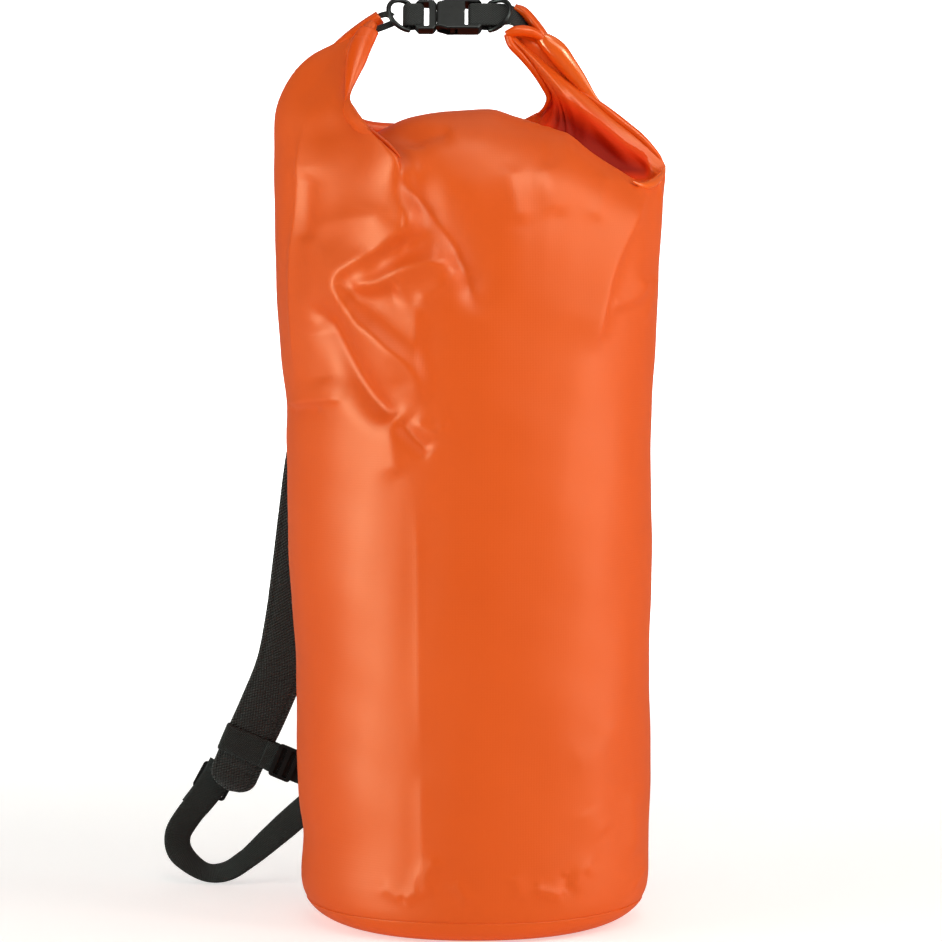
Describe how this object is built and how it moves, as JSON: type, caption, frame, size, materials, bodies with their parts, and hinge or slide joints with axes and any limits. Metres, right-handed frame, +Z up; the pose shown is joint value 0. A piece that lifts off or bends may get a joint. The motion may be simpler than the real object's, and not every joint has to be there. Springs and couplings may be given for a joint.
{
  "type": "dry bag",
  "caption": "Roll-top dry bag rucksack: round coated-fabric body, mouth rolled and clipped into a carry loop, two padded straps with ladder locks and an open chest strap.",
  "frame": {"origin": "centre of the base's underside", "axes": "+Z up along the bag, -Y the plain front panel, +Y the carrying side with the straps, +X to the right when the front is looked at"},
  "size_m": [0.4455, 0.3886, 0.7966],
  "materials": {
    "coated_fabric": "semi-gloss coated fabric with a fine scrim",
    "stiffener_plastic": "plain extruded strip",
    "black_webbing": "flat woven webbing",
    "padded_mesh": "spacer mesh over foam",
    "black_acetal": "satin moulded plastic"
  },
  "bodies": {
    "bag": {"base_panel": "coated_fabric", "body_tube": "coated_fabric", "top_shoulder": "coated_fabric", "side_seam": "coated_fabric", "back_panel": "coated_fabric", "mouth_roll": "coated_fabric", "left_mouth_end": "coated_fabric", "right_mouth_end": "coated_fabric", "mouth_stiffeners": "stiffener_plastic", "left_closure_webbing": "black_webbing", "right_closure_webbing": "black_webbing", "buckle_housing": "black_acetal", "left_top_anchor": "black_webbing", "right_top_anchor": "black_webbing", "left_low_anchor": "black_webbing", "right_low_anchor": "black_webbing"},
    "closure_plug": {"buckle_plug": "black_acetal"},
    "left_ring": {"left_d_ring": "black_acetal"},
    "right_ring": {"right_d_ring": "black_acetal"},
    "left_strap": {"left_top_webbing": "black_webbing", "left_pad": "padded_mesh", "left_ladder_lock": "black_acetal", "left_lower_webbing": "black_webbing", "left_chest_loop": "black_webbing"},
    "right_strap": {"right_top_webbing": "black_webbing", "right_pad": "padded_mesh", "right_ladder_lock": "black_acetal", "right_lower_webbing": "black_webbing", "right_chest_loop": "black_webbing"},
    "left_chest": {"left_chest_webbing": "black_webbing", "left_chest_slider": "black_acetal", "chest_plug": "black_acetal"},
    "right_chest": {"right_chest_webbing": "black_webbing", "right_chest_slider": "black_acetal", "chest_housing": "black_acetal"}
  },
  "joints": [
    {"name": "buckle_release", "type": "slide", "parent": "bag", "child": "closure_plug", "axis": [-1, 0, 0], "range_m": [0, 0.022], "deforming": ["left_closure_webbing"]},
    {"name": "left_ring_swing", "type": "hinge", "parent": "closure_plug", "child": "left_ring", "pos_m": [-0.0555, 0, 0.78], "axis": [0, 0.6157, 0.788], "range_deg": [0, 60]},
    {"name": "right_ring_swing", "type": "hinge", "parent": "bag", "child": "right_ring", "pos_m": [0.015, 0, 0.78], "axis": [0, 0.6157, 0.788], "range_deg": [-60, 0]},
    {"name": "left_strap_swing", "type": "hinge", "parent": "bag", "child": "left_strap", "pos_m": [-0.1, 0.129, 0.112], "axis": [0.0735, 0.0551, 0.9958], "range_deg": [-24, 15]},
    {"name": "right_strap_swing", "type": "hinge", "parent": "bag", "child": "right_strap", "pos_m": [0.088, 0.138, 0.112], "axis": [-0.0368, 0.0327, 0.9988], "range_deg": [-30, 18]},
    {"name": "left_chest_swing", "type": "hinge", "parent": "left_strap", "child": "left_chest", "pos_m": [-0.181, 0.166, 0.116], "axis": [0, 1, 0], "range_deg": [-12, 45]},
    {"name": "right_chest_swing", "type": "hinge", "parent": "right_strap", "child": "right_chest", "pos_m": [0.044, 0.227, 0.205], "axis": [0, 1, 0], "range_deg": [0, 60]}
  ]
}
